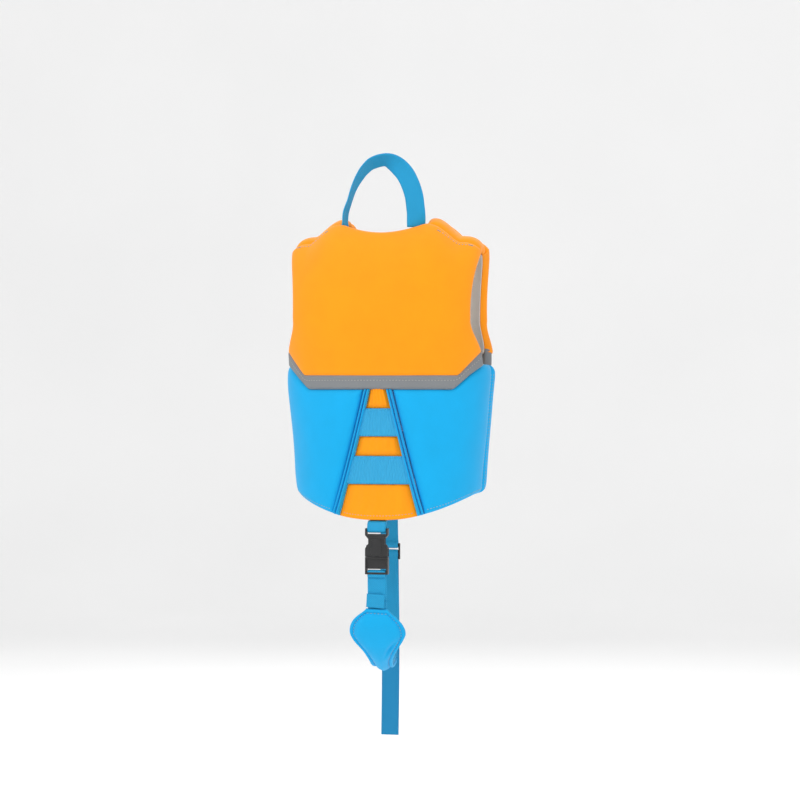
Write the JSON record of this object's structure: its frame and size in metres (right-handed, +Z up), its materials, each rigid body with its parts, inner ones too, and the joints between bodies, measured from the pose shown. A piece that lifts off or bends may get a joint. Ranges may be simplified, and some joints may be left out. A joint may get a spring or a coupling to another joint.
{
  "type": "life jacket",
  "caption": "Child's padded swim vest with a zipped front, two release-buckle straps, a stretch gusset at the back, a grab loop at the neck and a padded crotch strap.",
  "frame": {"origin": "between the shoulders, on the wearer's middle plane, at the height where the vest rests on the shoulders", "axes": "+Z up, the wearer faces -Y, the wearer's left is +X"},
  "size_m": [0.2304, 0.1843, 0.6442],
  "materials": {
    "orange_neoprene": "matte",
    "blue_neoprene": "matte",
    "grey_neoprene": "matte",
    "blue_webbing": "satin",
    "blue_elastic": "matte",
    "lining": "matte",
    "foam": "matte",
    "black_plastic": "satin",
    "zip_tape": "matte",
    "zip_metal": "satin"
  },
  "bodies": {
    "vest": {"back_cover": "orange_neoprene", "back_foam": "foam", "back_gusset": "orange_neoprene", "back_lining": "lining", "back_trim_band": "grey_neoprene", "chest_buckle_female": "black_plastic", "chest_strap_left": "blue_webbing", "chest_strap_right": "blue_webbing", "crotch_back_tab": "blue_webbing", "crotch_buckle_female": "black_plastic", "crotch_front_tab": "blue_webbing", "elastic_band_lower": "blue_elastic", "elastic_band_upper": "blue_elastic", "front_cover_left": "orange_neoprene", "front_cover_right": "orange_neoprene", "front_foam_left": "foam", "front_foam_right": "foam", "front_lining_left": "lining", "front_lining_right": "lining", "front_trim_band_left": "grey_neoprene", "front_trim_band_right": "grey_neoprene", "gusset_piping_left": "blue_neoprene", "gusset_piping_right": "blue_neoprene", "shoulder_cover_left": "orange_neoprene", "shoulder_cover_right": "orange_neoprene", "shoulder_pad_left": "foam", "shoulder_pad_right": "foam", "waist_back_cover_left": "blue_neoprene", "waist_back_cover_right": "blue_neoprene", "waist_back_foam_left": "foam", "waist_back_foam_right": "foam", "waist_buckle_female": "black_plastic", "waist_front_cover_left": "blue_neoprene", "waist_front_cover_right": "blue_neoprene", "waist_front_foam_left": "foam", "waist_front_foam_right": "foam", "waist_lining_left": "lining", "waist_lining_right": "lining", "waist_strap_left": "blue_webbing", "waist_strap_right": "blue_webbing", "zipper_box": "zip_tape", "zipper_stringer_left": "zip_tape", "zipper_stringer_right": "zip_tape"},
    "zipper_slider": {"zipper_slider": "zip_metal"},
    "zipper_pull": {"zipper_pull": "zip_metal"},
    "chest_male": {"chest_buckle_male": "black_plastic"},
    "chest_prong_upper": {"chest_buckle_arm_upper": "black_plastic"},
    "chest_prong_lower": {"chest_buckle_arm_lower": "black_plastic"},
    "waist_male": {"waist_buckle_male": "black_plastic"},
    "waist_prong_upper": {"waist_buckle_arm_upper": "black_plastic"},
    "waist_prong_lower": {"waist_buckle_arm_lower": "black_plastic"},
    "crotch_strap": {"crotch_glide": "black_plastic", "crotch_strap": "blue_webbing", "crotch_pad": "blue_neoprene", "strap_tail": "blue_webbing"},
    "crotch_male": {"crotch_buckle_male": "black_plastic"},
    "crotch_prong_upper": {"crotch_buckle_arm_upper": "black_plastic"},
    "crotch_prong_lower": {"crotch_buckle_arm_lower": "black_plastic"},
    "grab_loop": {"grab_loop": "blue_webbing"}
  },
  "joints": [
    {"name": "zipper_slide", "type": "slide", "parent": "vest", "child": "zipper_slider", "axis": [0, 0, -1], "range_m": [0, 0.19]},
    {"name": "zipper_pull_lift", "type": "hinge", "parent": "zipper_slider", "child": "zipper_pull", "pos_m": [0, -0.0829, -0.083], "axis": [-1, 0, 0], "range_deg": [0, 140]},
    {"name": "chest_buckle_slide", "type": "slide", "parent": "vest", "child": "chest_male", "axis": [1, 0, 0], "range_m": [0, 0.014]},
    {"name": "chest_prong_upper_flex", "type": "hinge", "parent": "chest_male", "child": "chest_prong_upper", "pos_m": [0.0054, -0.0945, -0.1771], "axis": [0, 1, 0], "range_deg": [-6, 0], "stiffness_Nm_per_rad": 0.2},
    {"name": "chest_prong_lower_flex", "type": "hinge", "parent": "chest_male", "child": "chest_prong_lower", "pos_m": [0.0054, -0.0945, -0.1929], "axis": [0, 1, 0], "range_deg": [0, 6], "stiffness_Nm_per_rad": 0.2},
    {"name": "waist_buckle_slide", "type": "slide", "parent": "vest", "child": "waist_male", "axis": [1, 0, 0], "range_m": [0, 0.014]},
    {"name": "waist_prong_upper_flex", "type": "hinge", "parent": "waist_male", "child": "waist_prong_upper", "pos_m": [0.0054, -0.0945, -0.2241], "axis": [0, 1, 0], "range_deg": [-6, 0], "stiffness_Nm_per_rad": 0.2},
    {"name": "waist_prong_lower_flex", "type": "hinge", "parent": "waist_male", "child": "waist_prong_lower", "pos_m": [0.0054, -0.0945, -0.2399], "axis": [0, 1, 0], "range_deg": [0, 6], "stiffness_Nm_per_rad": 0.2},
    {"name": "crotch_strap_swing", "type": "hinge", "parent": "vest", "child": "crotch_strap", "pos_m": [0.017, -0.084, -0.346], "axis": [-1, 0, 0], "range_deg": [0, 60]},
    {"name": "crotch_buckle_slide", "type": "slide", "parent": "crotch_strap", "child": "crotch_male", "axis": [0, 0, -1], "range_m": [0, 0.014]},
    {"name": "crotch_prong_upper_flex", "type": "hinge", "parent": "crotch_male", "child": "crotch_prong_upper", "pos_m": [-0.0079, 0.076, -0.3467], "axis": [0, -1, 0], "range_deg": [-6, 0], "stiffness_Nm_per_rad": 0.2},
    {"name": "crotch_prong_lower_flex", "type": "hinge", "parent": "crotch_male", "child": "crotch_prong_lower", "pos_m": [0.0079, 0.076, -0.3467], "axis": [0, -1, 0], "range_deg": [0, 6], "stiffness_Nm_per_rad": 0.2},
    {"name": "grab_loop_swing", "type": "hinge", "parent": "vest", "child": "grab_loop", "pos_m": [0.004, 0.0445, 0.0095], "axis": [1, 0, 0], "range_deg": [-60, 0]}
  ]
}
